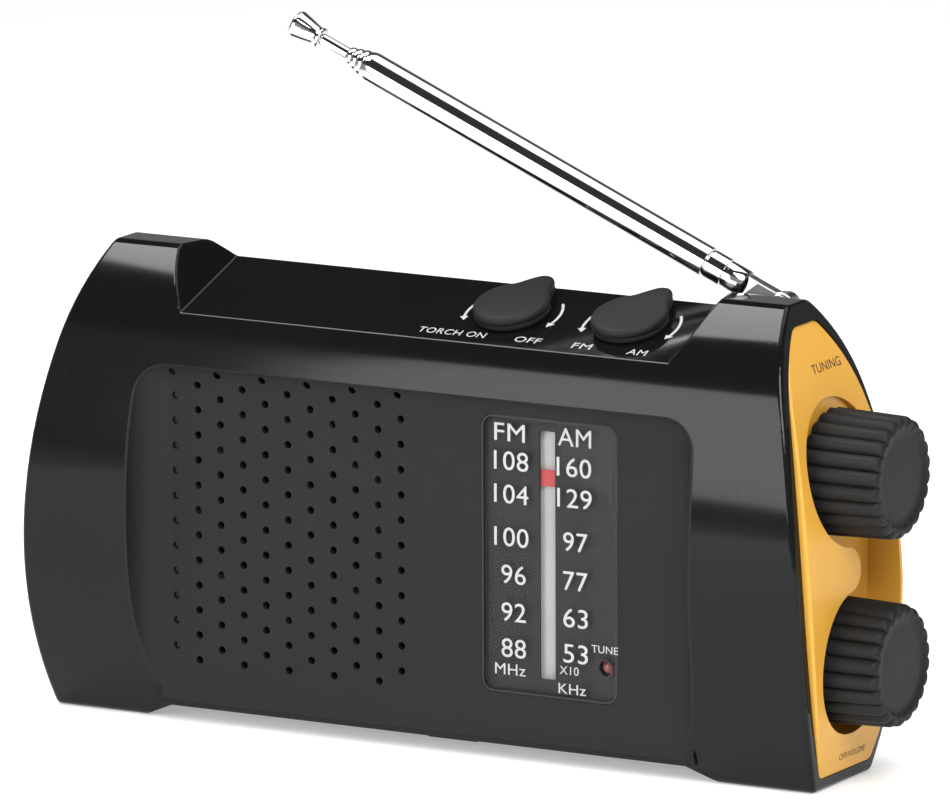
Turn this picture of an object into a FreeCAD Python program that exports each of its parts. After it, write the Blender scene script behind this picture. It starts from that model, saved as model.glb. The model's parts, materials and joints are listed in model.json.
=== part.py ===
import FreeCAD, Part
import math
import os
import re
from types import SimpleNamespace

import Sketcher
from FreeCAD import Placement, Rotation, Vector

# Emergency radio with a hand dynamo, a torch and a telescopic antenna. Millimetres.
# Origin: bottom centre of the case, in the plane of its feet. +X to the knob end,
# -Y to the dial and speaker face, +Z up.

dimensions = {
    # case
    "halfWidth": 95.1, "caseHeight": 102.4, "halfDepth": 24.0, "bellyHeight": 45.0,
    "lowerArc": 98.0, "upperArc": 133.0, "shoulderArc": 38.65, "shoulderHeight": 82.0,
    "footRound": 2.0, "crownRound": 4.0, "edgeRound": 0.9, "endRound": 1.2,
    "endArcRadius": 210.0, "endArcHeight": 30.0, "wall": 2.6, "seamDepth": 9.0,
    "waistHalfDepth": 16.65, "waistHalfWidth": 61.0, "waistCorner": 7.5, "waistTop": 81.0,
    "skin": 0.6, "plateHalfWidth": 59.0, "plateBottom": 7.0, "plateTop": 79.0, "plateBack": 14.65,
    "cavityHalfDepth": 14.4, "cavityFloor": 5.6, "cavityHalfWidth": 84.0, "flareStart": 71.0,
    "footStep": 3.2, "stepInner": 63.0, "stepOuter": 70.5, "panelBottom": 4.4,
    "middleFoot": 6.0,
    # deck between the two flared ends
    "deckTilt": 18.9, "creaseDepth": 14.84, "creaseHeight": 90.12, "deckHalf": 59.5, "deckWallSlope": 52.0,
    # end panels
    "rim": 2.8, "rimTop": 4.3, "panelReach": 96.6, "panelArc": 160.0, "panelArcHeight": 34.0,
    "panelRound": 0.6, "leftProud": 0.2, "endFloor": 88.5, "endWall": 2.2, "endSeat": 82.0,
    "recessRadius": 15.7, "recessTip": 2.0, "recessWall": 1.6,
    # grille and dial
    "grilleX": -60.2, "grilleZ": 77.5, "grillePitchX": 5.55, "grillePitchZ": 5.49, "grilleHole": 0.85,
    "windowLeft": 14.9, "windowRight": 47.9, "windowLow": 15.0, "windowHigh": 75.4, "windowCorner": 2.8,
    "slotLeft": 28.4, "slotRight": 32.2, "slotLow": 18.7, "slotHigh": 72.5, "lampX": 44.6, "lampZ": 22.7,
    "pointerZ": 62.2, "pointerHalf": 1.75,
    # knobs on the right end
    "tuningZ": 67.0, "volumeZ": 26.6, "knobTip": 12.7, "knobRoot": 13.2, "knobStart": 89.5, "knobEnd": 107.4,
    "knobLobes": 22, "shaftRadius": 3.0, "runFit": 0.06,
    # selector knobs on the deck
    "torchSelectorX": 15.1, "bandSelectorX": 43.65, "selectorRise": 12.8, "selectorRadius": 8.45,
    "selectorHeight": 3.3, "lugReach": 10.2, "lugRadius": 2.4, "selectorAngle": 15.0, "stemRadius": 2.0,
    # antenna
    "antennaX": 72.0, "antennaY": 12.5, "antennaZ": 98.5, "antennaRise": 23.3,
    "turretRadius": 4.4, "turretFloor": 89.6, "turretTop": 94.7, "bossBottom": 79.4, "bossWidth": 5.6,
    "nutLow": 77.2, "tongueHalf": 1.3, "earThick": 1.3,
    "tongueRadius": 3.2, "tubeOuter": 3.5, "tubeStart": 7.5, "tubeEnd": 110.0, "tubeStep": 0.5,
    "tipRun": 8.1, "capNeck": 2.13, "capMouth": 3.3, "capLength": 5.6,
    # dynamo
    "crankZ": 50.0, "gearModule": 0.6, "wheelTeeth": 48, "pinionTeeth": 12, "crankReach": 50.0,
    "armFront": 17.2, "armBack": 22.4, "armHalf": 6.5, "gripRadius": 2.5, "gripLength": 26.0,
    # tuning drive
    "driveTeeth": 16, "driveModule": 0.6, "drumRadius": 8.0, "cordX": 63.0, "idlerY": -4.5, "idlerZ": 10.5,
    "idlerRadius": 3.5, "cordThick": 0.8,
    # torch
    "torchZ": 44.0, "torchRadius": 17.0, "bezelRadius": 19.0, "bezelFace": 96.2,
    # speaker, cells, board
    "speakerX": -32.45, "speakerZ": 47.0, "speakerRadius": 25.0, "cellRadius": 5.2, "cellLength": 44.0,
    "screwRadius": 1.2, "screwSeat": 14.9, "bossRadius": 3.0, "jackX": -44.0, "jackZ": 16.0,
    "cellX": 14.0, "cellY": 8.6, "cellZ": 13.4,
    "doorLow": 9.0, "doorHigh": 41.0, "doorLeft": 13.0, "doorRight": 59.0,
}

doc = FreeCAD.newDocument("emergency_radio")
sheet = doc.addObject("Spreadsheet::Sheet", "Sizes")
for row, (alias, size) in enumerate(dimensions.items(), start=1):
    sheet.set(f"A{row}", alias)
    sheet.set(f"B{row}", str(size))
    sheet.setAlias(f"B{row}", alias)
doc.recompute()
d = SimpleNamespace(**{alias: float(sheet.get(alias)) for alias in dimensions})
nodes = {}


# ---- helpers -------------------------------------------------------------------------

turns = {
    "X": Rotation(Vector(0, 1, 0), 90), "-X": Rotation(Vector(0, 1, 0), -90),
    "Y": Rotation(Vector(1, 0, 0), -90), "-Y": Rotation(Vector(1, 0, 0), 90),
    "Z": Rotation(), "-Z": Rotation(Vector(1, 0, 0), 180),
}
planes = {"XY": Rotation(), "XZ": Rotation(Vector(1, 0, 0), 90), "YZ": Rotation(Vector(1, 1, 1), 120)}
roles = {"XY": "XY_Plane", "XZ": "XZ_Plane", "YZ": "YZ_Plane"}


def fromSheet(text):
    def named(word):
        return "Sizes." + word.group(0) if word.group(0) in dimensions else word.group(0)
    return re.sub(r"[A-Za-z]\w*", named, str(text))


def bind(item, **sizes):
    for prop, text in sizes.items():
        item.setExpression(prop, fromSheet(text))
    return item


def settle(item, at, turn):
    # Numbers place the item directly; words bind that coordinate to the sheet.
    item.Placement = Placement(Vector(*[0 if isinstance(place, str) else place for place in at]), turn)
    for letter, place in zip("xyz", at):
        if isinstance(place, str):
            item.setExpression("Placement.Base." + letter, fromSheet(place))
    return item


def cylinder(name, radius, height, at=(0, 0, 0), along="Z"):
    item = bind(doc.addObject("Part::Cylinder", name), Radius=radius, Height=height)
    return settle(item, at, turns[along])


def cone(name, low, high, height, at=(0, 0, 0), along="Z"):
    item = bind(doc.addObject("Part::Cone", name), Radius1=low, Radius2=high, Height=height)
    return settle(item, at, turns[along])


def ball(name, radius, at):
    return settle(bind(doc.addObject("Part::Sphere", name), Radius=radius), at, Rotation())


def block(name, lengths, at):
    item = bind(doc.addObject("Part::Box", name), Length=lengths[0], Width=lengths[1], Height=lengths[2])
    return settle(item, at, Rotation())


def fuse(name, *items):
    item = doc.addObject("Part::MultiFuse", name)
    item.Shapes = list(items)
    return item


def cut(name, base, *tools):
    item = doc.addObject("Part::Cut", name)
    item.Base = base
    item.Tool = tools[0] if len(tools) == 1 else fuse(name + "_tools", *tools)
    return item


def common(name, base, tool):
    item = doc.addObject("Part::Common", name)
    item.Base = base
    item.Tool = tool
    return item


def mirrored(name, source, normal):
    item = doc.addObject("Part::Mirroring", name)
    item.Source = source
    item.Normal = normal
    return item


def node(label, item):
    item.Label = label
    nodes[label] = item
    return item


def path(points, closed=True):
    # A point alone ends a straight edge; a pair of points is an arc's middle and its end.
    edges = []
    last = Vector(*points[0], 0)
    first = last
    for point in points[1:]:
        if isinstance(point[0], tuple):
            end = Vector(*point[1], 0)
            edges.append(Part.Arc(last, Vector(*point[0], 0), end))
        else:
            end = Vector(*point, 0)
            edges.append(Part.LineSegment(last, end))
        last = end
    if closed and last.distanceToPoint(first) > 1e-6:
        edges.append(Part.LineSegment(last, first))
    return edges


def rounded(left, right, low, high, corner):
    k = corner * (1 - math.sqrt(0.5))
    return path([
        (left + corner, low), (right - corner, low), ((right - k, low + k), (right, low + corner)),
        (right, high - corner), ((right - k, high - k), (right - corner, high)),
        (left + corner, high), ((left + k, high - k), (left, high - corner)),
        (left, low + corner), ((left + k, low + k), (left + corner, low)),
    ])


def ring(x, y, radius):
    return [Part.Circle(Vector(x, y, 0), Vector(0, 0, 1), radius)]


def prism(name, plane, edges, start, length):
    # A loose sketch on a plane moved `start` along its normal, made solid by `length`.
    sketch = doc.addObject("Sketcher::SketchObject", name + "_sketch")
    sketch.addGeometry(edges, False)
    turn = planes[plane]
    sketch.Placement = Placement(turn.multVec(Vector(0, 0, start)), turn)
    item = doc.addObject("Part::Extrusion", name)
    item.Base = sketch
    item.DirMode = "Normal"
    item.Solid = True
    return bind(item, LengthFwd=length)


def bodySketch(body, plane, edges, start=0):
    sketch = body.newObject("Sketcher::SketchObject", body.Name + "_sketch")
    face = next(f for f in body.Origin.OriginFeatures if f.Role == roles[plane])
    sketch.AttachmentSupport = [(face, "")]
    sketch.MapMode = "FlatFace"
    sketch.setExpression("AttachmentOffset.Base.z", fromSheet(start))
    sketch.addGeometry(edges, False)
    return sketch


def circleSketch(body, plane, x, y, radius, start=0):
    sketch = bodySketch(body, plane, ring(x, y, 1.0), start)
    sketch.addConstraint(Sketcher.Constraint("Radius", 0, 1.0))
    sketch.renameConstraint(0, "radius")
    sketch.setExpression("Constraints.radius", fromSheet(radius))
    return sketch


def pad(body, sketch, length, taper=0):
    feature = body.newObject("PartDesign::Pad", body.Name + "_pad")
    feature.Profile = sketch
    bind(feature, Length=length)
    feature.TaperAngle = taper
    body.Tip = feature
    return feature


def pocket(body, sketch, length, reverse=False):
    feature = body.newObject("PartDesign::Pocket", body.Name + "_pocket")
    feature.Profile = sketch
    bind(feature, Length=length)
    feature.Reversed = reverse
    body.Tip = feature
    return feature


def padBody(name, plane, edges, start, length):
    body = doc.addObject("PartDesign::Body", name)
    pad(body, bodySketch(body, plane, edges, start), length)
    return body


def lathe(name, outline, at, along):
    # Outline of (radius, height) corners, turned about the body's own Z axis.
    body = doc.addObject("PartDesign::Body", name)
    sketch = bodySketch(body, "XZ", path(outline))
    feature = body.newObject("PartDesign::Revolution", name + "_turned")
    feature.Profile = sketch
    feature.ReferenceAxis = (sketch, ["V_Axis"])
    body.Tip = feature
    return settle(body, at, turns[along])


# ---- case ------------------------------------------------------------------------------


def bowedOutline(reach, radius, middle):
    # Front outline bowed at both ends: each end is one arc that stands out furthest at `middle`.
    def out(height):
        return reach - radius + math.sqrt(radius ** 2 - (height - middle) ** 2)
    low, high = -4.0, d.caseHeight + 4.0
    return path([
        (out(low), low), ((reach, middle), (out(high), high)),
        (-out(high), high), ((-reach, middle), (-out(low), low)),
    ])


def barrelSection(inset, topInset):
    # End profile of the case, drawn in by `inset`: foot, lower, upper, shoulder and crown arcs, each
    # tangent to the next. The rear half mirrors the front half.
    def on(centre, radius, angle):
        return (centre[0] + radius * math.cos(angle), centre[1] + radius * math.sin(angle))
    belly = d.bellyHeight
    lower = (d.halfDepth - d.lowerArc, belly)
    upper = (d.halfDepth - d.upperArc, belly)
    lean = math.asin((d.shoulderHeight - belly) / d.upperArc)
    shoulder = on(upper, d.upperArc - d.shoulderArc, lean)
    r1, r2, r3 = d.lowerArc - inset, d.upperArc - inset, d.shoulderArc - inset
    footZ = inset + d.footRound
    foot = (lower[0] + math.sqrt((r1 - d.footRound) ** 2 - (belly - footZ) ** 2), footZ)
    crownZ = d.caseHeight - topInset - d.crownRound
    crown = (shoulder[0] + math.sqrt((r3 - d.crownRound) ** 2 - (crownZ - shoulder[1]) ** 2), crownZ)
    a1 = math.atan2(footZ - belly, foot[0] - lower[0])
    a3 = math.atan2(crownZ - shoulder[1], crown[0] - shoulder[0])
    upright = math.pi / 2
    start = (foot[0], inset)
    half = [
        (on(foot, d.footRound, (a1 - upright) / 2), on(lower, r1, a1)),
        (on(lower, r1, a1 / 2), on(lower, r1, 0)),
        (on(upper, r2, lean / 2), on(upper, r2, lean)),
        (on(shoulder, r3, (lean + a3) / 2), on(shoulder, r3, a3)),
        (on(crown, d.crownRound, (a3 + upright) / 2), (crown[0], crownZ + d.crownRound)),
    ]
    def flip(point):
        return (-point[0], point[1])
    ends = [start] + [arc[1] for arc in half]
    back = [(flip(half[i][0]), flip(ends[i])) for i in reversed(range(len(half)))]
    return path([start] + half + [flip(ends[-1])] + back)


def caseOutline(offset):
    return bowedOutline(d.halfWidth + offset, d.endArcRadius + offset, d.endArcHeight)


def panelOutline(offset):
    return bowedOutline(d.panelReach + offset, d.panelArc + offset, d.panelArcHeight)


def waistSection(skin, depth):
    # Plan of the hollow in front of the waist: flat back, round sides.
    side = d.waistHalfWidth
    axis = d.waistHalfDepth + d.waistCorner
    radius = d.waistCorner + skin
    k = radius * math.sqrt(0.5)
    return path([
        (-side - radius, -depth), (-side - radius, -axis), ((-side - k, -axis + k), (-side, -axis + radius)),
        (side, -axis + radius), ((side + k, -axis + k), (side + radius, -axis)), (side + radius, -depth),
    ])


def makeForm():
    barrel = prism("barrel", "YZ", barrelSection(0, 0), -110, 220)
    ends = prism("ends", "XZ", caseOutline(0), -40, 80)
    return common("form", barrel, ends)


def hollow(name, skin, top):
    return prism(name, "XY", waistSection(skin, 40.0), -2, top)


def softened(name, item, radius, chosen):
    # Rounds the edges that `chosen` picks.
    doc.recompute()
    picked = [i for i, edge in enumerate(item.Shape.Edges, start=1) if chosen(edge)]
    fillet = doc.addObject("Part::Fillet", name)
    fillet.Base = item
    fillet.Edges = [(index, radius, radius) for index in picked]
    return fillet


def isTopCorner(edge):
    # The hollow's two upper corners run front to back.
    if edge.Curve.TypeId != "Part::GeomLine":
        return False
    return abs(edge.tangentAt(edge.FirstParameter).y) > 0.99 and edge.CenterOfMass.z > d.waistTop / 2


def cornered(name, item, radius):
    return softened(name, item, radius, isTopCorner)


def isDeckEdge(edge):
    # Front crease, side valleys, rear edge and ridges of the sloping deck.
    box = edge.BoundBox
    beside = abs(edge.CenterOfMass.x)
    low = box.ZMin > d.creaseHeight - 0.6
    if edge.Length > 100:
        return low and beside < 1
    behind = box.YMax > d.seamDepth + 0.3
    return low and edge.Length > 1 and d.deckHalf - 0.5 < beside < d.deckHalf + 8 and not behind


def isEndEdge(edge):
    # Outline of the two flat ends.
    box = edge.BoundBox
    return min(abs(box.XMin), abs(box.XMax)) > 82 and box.XMin * box.XMax > 0


def deckPoint(rise, normal):
    a = math.radians(d.deckTilt)
    y = -d.creaseDepth + rise * math.cos(a) - normal * math.sin(a)
    return y, d.creaseHeight + rise * math.sin(a) + normal * math.cos(a)


def makeDeckCut():
    height = 16.0
    wide = height / math.tan(math.radians(d.deckWallSlope))
    wedge = prism("deck_wedge", "XZ", path([
        (-d.deckHalf, 0), (d.deckHalf, 0), (d.deckHalf + wide, height), (-d.deckHalf - wide, height),
    ]), 12, 60)
    tilt = Rotation(Vector(1, 0, 0), d.deckTilt)
    wedge.Placement = Placement(Vector(0, -d.creaseDepth, d.creaseHeight), tilt)
    wedge.Base.Placement = Placement(Vector(0, -12, 0), planes["XZ"])
    wedge.Reversed = True
    return wedge


def makeCavity():
    slope = math.tan(math.radians(d.deckTilt))
    drop = d.wall / math.cos(math.radians(d.deckTilt))
    def under(y):
        return d.creaseHeight + (y + d.creaseDepth) * slope - drop
    deep = d.cavityHalfDepth
    waist = prism("waist_cavity", "YZ", path([
        (-deep, d.cavityFloor), (deep, d.cavityFloor), (deep, 86.0), (9.0, under(7.5)), (7.5, under(7.5)),
        (-deep, under(-deep)),
    ]), -d.cavityHalfWidth, "2 * cavityHalfWidth")
    flare = prism("flare_cavity", "YZ", barrelSection(d.rim, d.rimTop), d.flareStart, 40)
    return fuse("cavity", waist, flare, mirrored("flare_cavity_left", flare, Vector(1, 0, 0)))


def makeShells():
    form = makeForm()
    front = cornered("front_hollow", hollow("front_hollow_raw", 0.0, "waistTop + 2"), 8.0)
    seat = cornered("panel_seat", hollow("panel_seat_raw", d.skin, "waistTop + 2"), 8.6)
    back = mirrored("back_hollow", hollow("back_hollow_raw", 0.0, 120), Vector(0, 1, 0))
    step = prism("foot_step", "XZ", path([
        (-d.stepOuter, -1), (-d.stepOuter, 0), (-d.stepInner, d.footStep), (d.stepInner, d.footStep),
        (d.stepOuter, 0), (d.stepOuter, -1),
    ]), -40, 80)
    waist = prism("waist_core", "YZ", path([
        (-d.waistHalfDepth, 6.0), (-d.waistHalfDepth + 0.9, 4.1), (-d.waistHalfDepth + 3.0, d.footStep),
        (d.waistHalfDepth - 3.0, d.footStep), (d.waistHalfDepth - 0.9, 4.1), (d.waistHalfDepth, 6.0),
        (d.waistHalfDepth, 30), (-d.waistHalfDepth, 30),
    ]), -66, 132)
    filled = fuse("filled_form", form, waist)
    opening = block("plate_opening", ("2 * plateHalfWidth", 20, "plateTop - plateBottom"),
                    ("-plateHalfWidth", "-waistHalfDepth - 8", "plateBottom"))
    sharp = cut("outer", filled, back, step, makeDeckCut())
    soft = softened("deck_edges", sharp, d.edgeRound, isDeckEdge)
    outer = softened("end_edges", soft, d.endRound, isEndEdge)
    foot = block("middle_foot", ("2 * middleFoot", "seamDepth + 3", "footStep + 1"), ("-middleFoot", -3, 0))
    bossRod = cylinder("boss_rod", "bossWidth", 30, ("antennaX", "antennaY", "bossBottom"))
    boss = common("turret_boss", outer, bossRod)
    hollowed = cut("hollowed", outer, seat, opening, makeCavity())

    bores = [cylinder("turret_well", "turretRadius + 0.5", 30, ("antennaX", "antennaY", "turretFloor")),
             cylinder("turret_bore", "stemRadius + runFit", 34, ("antennaX", "antennaY", 76)),
             cylinder("nut_room", 2.9, "bossBottom - nutLow + 0.8", ("antennaX", "antennaY", "nutLow - 0.8"))]
    for name, x in (("torch", "torchSelectorX"), ("band", "bandSelectorX")):
        bore = cylinder(name + "_bore", "stemRadius + runFit", 20)
        y, z = deckPoint(d.selectorRise, -10)
        bore.Placement = Placement(Vector(getattr(d, x), y, z), Rotation(Vector(1, 0, 0), d.deckTilt))
        bores.append(bore)
    posts = []
    for i, (x, z) in enumerate(screwPlaces):
        posts.append(cylinder(f"post_{i}", "bossRadius", "waistHalfDepth - 0.2 + cavityHalfDepth",
                              (x, "-cavityHalfDepth", z), "Y"))
        bores.append(cylinder(f"post_bore_{i}", "screwRadius + runFit", 15, (x, 0, z), "Y"))
    drilled = cut("drilled", fuse("bossed", hollowed, foot, boss, *posts), *bores)

    frontHalf = block("front_half", (240, 60, 140), (-120, "seamDepth - 60", -10))
    backHalf = block("back_half", (240, 60, 140), (-120, "seamDepth", -10))
    node("front_housing", common("front_shell", drilled, frontHalf))

    holes = [
        cylinder("crank_hole", "shaftRadius + runFit", 10, (0, 10, "crankZ"), "Y"),
        cylinder("jack_hole", 3.0, 10, ("jackX", 10, "jackZ"), "Y"),
        block("door_hole", ("doorRight - doorLeft", 10, "doorHigh - doorLow"), ("doorLeft", 10, "doorLow")),
    ]
    for i, (x, z) in enumerate(screwPlaces):
        holes.append(cylinder(f"screw_seat_{i}", 2.4, 20, (x, "screwSeat", z), "Y"))
    node("back_housing", cut("back_shell_cut", common("back_shell", drilled, backHalf), *holes))

    lengths = ("2 * plateHalfWidth - 0.2", "waistHalfDepth - plateBack", "plateTop - plateBottom - 0.2")
    plate = block("plate", lengths, ("-plateHalfWidth + 0.1", "-waistHalfDepth", "plateBottom + 0.1"))
    lip = cut("panel_lip", common("panel_skin", filled, seat), front, step)
    window = prism("window_hole", "XZ", rounded(d.windowLeft, d.windowRight, d.windowLow, d.windowHigh,
                                                d.windowCorner), 10, 12)
    node("front_panel", cut("front_panel_cut", fuse("panel_blank", lip, plate), window, makeGrille()))


screwPlaces = [(-55.0, 84.5), (55.0, 84.5), (-55.0, 9.5), (6.0, 9.5)]


def makeGrille():
    circles = []
    for column in range(11):
        drop = d.grillePitchZ / 2 if column % 2 else 0
        for row in range(12):
            x = d.grilleX + column * d.grillePitchX
            circles += ring(x, d.grilleZ - drop - row * d.grillePitchZ, d.grilleHole)
    return prism("grille_holes", "XZ", circles, 10, 12)


# ---- end panels ------------------------------------------------------------------------


def recessSection(offset):
    # Two round wells joined behind a tongue; the rear side runs out past the rim.
    r = d.recessRadius + offset
    middle = (d.tuningZ + d.volumeZ) / 2
    half = (d.tuningZ - d.volumeZ) / 2
    tip = d.recessTip - offset
    tipRadius = (tip ** 2 + half ** 2 - r ** 2) / (2 * (r + tip))
    tipY = tip - tipRadius
    reach = r / (r + tipRadius)
    touch = (tipY * reach, half * (1 - reach))
    lean = math.radians(40)
    top = (r * math.cos(lean), r * math.sin(lean))
    run = (30 - top[0]) / math.sin(lean)
    far = (30, top[1] - run * math.cos(lean))
    return path([
        (far[0], d.tuningZ + far[1]), (top[0], d.tuningZ + top[1]),
        ((-r, d.tuningZ), (touch[0], middle + touch[1])),
        ((tip, middle), (touch[0], middle - touch[1])),
        ((-r, d.volumeZ), (top[0], d.volumeZ - top[1])),
        (far[0], d.volumeZ - far[1]),
    ])


def isPanelEdge(edge):
    # Outline of an end panel's outer face.
    return edge.BoundBox.XMin > d.endSeat + 0.8


def endBar(name, inset, start):
    return prism(name, "YZ", barrelSection(d.rim + inset, d.rimTop + inset), start, 40)


def endBlank(name, inset, outline, start):
    bowed = prism(name + "_outline", "XZ", outline, -40, 80)
    return common(name, endBar(name + "_bar", inset, start), bowed)


def makeEndPanels():
    rightBlank = endBlank("right_blank", 0.1, panelOutline(0), d.endSeat)
    blank = softened("right_edge", rightBlank, d.panelRound, isPanelEdge)
    well = common("recess_well", prism("recess_form", "YZ", recessSection(0), d.endFloor, 30),
                  endBar("recess_limit", d.recessWall, d.endFloor - 1))
    wellWall = prism("recess_wall", "YZ", recessSection(2.0), d.endFloor - d.endWall, 40)
    core = endBlank("right_core", 2.0, panelOutline(-d.endWall), d.endSeat - 1)
    coreRight = cut("end_core_right", core, wellWall)
    shafts = [cylinder(n, "shaftRadius + runFit", 30, (70, 0, z), "X")
              for n, z in (("tuning_hole", "tuningZ"), ("volume_hole", "volumeZ"))]
    node("right_end_panel", cut("right_panel", blank, well, coreRight, *shafts))

    flushBlank = endBlank("flush_blank", 0.1, caseOutline(d.leftProud), d.endSeat)
    flush = softened("left_edge", flushBlank, d.panelRound, isPanelEdge)
    flushCore = endBlank("flush_core", 2.0, caseOutline(d.leftProud - d.endWall), d.endSeat - 1)
    leftBlank = mirrored("left_blank", flush, Vector(1, 0, 0))
    leftCore = mirrored("left_core", flushCore, Vector(1, 0, 0))
    torchHole = cylinder("torch_hole", "bezelRadius + 0.1", 40, (-110, 0, "torchZ"), "X")
    node("left_end_panel", cut("left_panel", leftBlank, leftCore, torchHole))


# ---- knobs -----------------------------------------------------------------------------


def makeEndKnob(label, height):
    body = doc.addObject("PartDesign::Body", label + "_body")
    pad(body, circleSketch(body, "XY", 0, 0, "knobRoot"), "knobEnd - knobStart", 1.5)
    groove = pocket(body, circleSketch(body, "XY", d.knobRoot + 0.2, 0, 1.3, 0), "knobEnd - knobStart", True)
    pattern = body.newObject("PartDesign::PolarPattern", label + "_grooves")
    pattern.Originals = [groove]
    pattern.Axis = (next(f for f in body.Origin.OriginFeatures if f.Role == "Z_Axis"), [""])
    pattern.Angle = 360
    bind(pattern, Occurrences="knobLobes")
    body.Tip = pattern
    pocket(body, circleSketch(body, "XY", 0, 0, "shaftRadius"), 14, True)
    settle(body, ("knobStart", 0, height), turns["X"])
    node(label, body)


def onDeck(item, x, normal=0.0, spin=0.0):
    y, z = deckPoint(d.selectorRise, normal)
    turn = Rotation(Vector(1, 0, 0), d.deckTilt).multiply(Rotation(Vector(0, 0, 1), spin))
    item.Placement = Placement(Vector(x, y, z), turn)
    return item


def makeSelector(label, x):
    knob = doc.addObject("PartDesign::Body", label + "_body")
    # A disc drawn out to a round tip by two straight tangents.
    big, tip, reach = d.selectorRadius, d.lugRadius, d.lugReach
    rise = (big - tip) / reach
    side = math.sqrt(1 - rise ** 2)
    teardrop = path([
        (big * side, big * rise), (tip * side, reach + tip * rise),
        ((0, reach + tip), (-tip * side, reach + tip * rise)), (-big * side, big * rise),
        ((0, -big), (big * side, big * rise)),
    ])
    pad(knob, bodySketch(knob, "XY", teardrop), "selectorHeight")
    node(label + "_knob", onDeck(knob, x, 0.3, -d.selectorAngle))
    stem = onDeck(cylinder(label + "_stem_rod", "stemRadius", 8.3), x, -8.0)
    node(label + "_stem", stem)
    case = cylinder(label + "_case", 6.5, 6.2)
    bore = cylinder(label + "_case_bore", "stemRadius + runFit", 5.6)
    onDeck(case, x, -d.wall - 6.2)
    onDeck(bore, x, -d.wall - 5.6)
    return cut(label + "_switch", case, bore)


# ---- dial ------------------------------------------------------------------------------


def makeDial():
    gap = 0.1
    pane = rounded(d.windowLeft + gap, d.windowRight - gap, d.windowLow + gap, d.windowHigh - gap,
                   d.windowCorner - gap)
    node("dial_window", padBody("window_pane", "XZ", pane, "waistHalfDepth - 1.1", 1.2))
    plate = padBody("scale_plate", "XZ", pane, "waistHalfDepth - 1.7", 0.55)
    slot = rounded(d.slotLeft, d.slotRight, d.slotLow, d.slotHigh, 0.3)
    pocket(plate, bodySketch(plate, "XZ", slot, "waistHalfDepth - 1.7"), 2, True)
    pocket(plate, circleSketch(plate, "XZ", d.lampX, d.lampZ, 1.8, "waistHalfDepth - 1.7"), 2, True)
    node("dial_scale", plate)
    track = padBody("pointer_track_body", "XZ", path([
        (25.0, d.slotLow - 2), (31.9, d.slotLow - 2), (31.9, d.slotHigh + 2), (25.0, d.slotHigh + 2),
    ]), 13.3, 0.6)
    node("pointer_track", track)
    lampBase = cylinder("lamp_base", 1.7, 1.6, ("lampX", -14.9, "lampZ"), "Y")
    node("tune_lamp", fuse("lamp", lampBase, ball("lamp_dome", 1.2, ("lampX", -14.4, "lampZ"))))


def makePointer():
    low = d.pointerZ - d.pointerHalf
    high = 2 * d.pointerHalf
    clampX = d.cordX - 1.15
    tab = block("pointer_tab", (5.4, 0.5, high), (28.2, -14.75, low))
    stem = block("pointer_neck", (1.0, 3.0, high), (32.6, -14.75, low))
    arm = block("pointer_arm", (d.cordX + 1.15 - 32.6, 1.1, high), (32.6, -12.2, low))
    web = block("pointer_web", (2.3, 2.7, high + 7.0), (clampX, -12.2, low - 7.0))
    clamp = block("pointer_clamp", (2.3, 5.0, 2.5), (clampX, -12.2, low - 7.0))
    groove = block("pointer_groove", (1.6, 1.4, 8.0), (d.cordX - 0.8, -d.drumRadius - 0.7, low - 9.0))
    node("dial_pointer", cut("pointer_cut", fuse("pointer_blank", tab, stem, arm, web, clamp), groove))


# ---- tuning drive ----------------------------------------------------------------------


def gearWire(teeth, module, addendum, phase):
    # Involute spur gear outline in its own XY plane; phase turns it, in radians.
    pitch = teeth * module / 2
    base = pitch * math.cos(math.radians(20))
    tip = pitch + addendum * module
    root = pitch - 1.2 * module
    def involute(radius):
        if radius <= base:
            return 0.0
        angle = math.sqrt((radius / base) ** 2 - 1)
        return angle - math.atan(angle)
    halfTooth = math.pi / (2 * teeth) - 0.06 * module / pitch
    def flank(radius, side, centre):
        angle = centre + side * (halfTooth + involute(pitch) - involute(radius))
        return Vector(radius * math.cos(angle), radius * math.sin(angle), 0)
    start = max(root, base)
    radii = [start + (tip - start) * i / 4 for i in range(5)]
    edges = []
    for tooth in range(teeth):
        centre = phase + 2 * math.pi * tooth / teeth
        rise = [flank(r, -1, centre) for r in radii]
        fall = [flank(r, 1, centre) for r in reversed(radii)]
        if root < base:
            edges.append(Part.LineSegment(flank(root, -1, centre), rise[0]))
        for points in (rise, fall):
            curve = Part.BSplineCurve()
            curve.interpolate(points)
            edges.append(curve)
            if points is rise:
                top = Vector(tip * math.cos(centre), tip * math.sin(centre), 0)
                edges.append(Part.Arc(rise[-1], top, fall[0]))
        if root < base:
            edges.append(Part.LineSegment(fall[-1], flank(root, 1, centre)))
        following = centre + 2 * math.pi / teeth
        gap = (centre + following) / 2
        valley = Vector(root * math.cos(gap), root * math.sin(gap), 0)
        low = min(start, root)
        edges.append(Part.Arc(flank(low, 1, centre), valley, flank(low, -1, following)))
    return Part.Wire([edge.toShape() for edge in edges])


def gearShape(teeth, module, width, bore, phase, addendum=0.75):
    face = Part.Face(gearWire(int(teeth), module, addendum, phase))
    solid = face.extrude(Vector(0, 0, width))
    if bore:
        solid = solid.cut(Part.makeCylinder(bore, width))
    return solid


def gear(label, teeth, module, width, bore, at, along, phase=0.0):
    item = doc.addObject("Part::Feature", label + "_teeth")
    item.Shape = gearShape(teeth, module, width, bore, phase)
    item.Placement = Placement(Vector(*at), turns[along])
    return item


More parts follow.
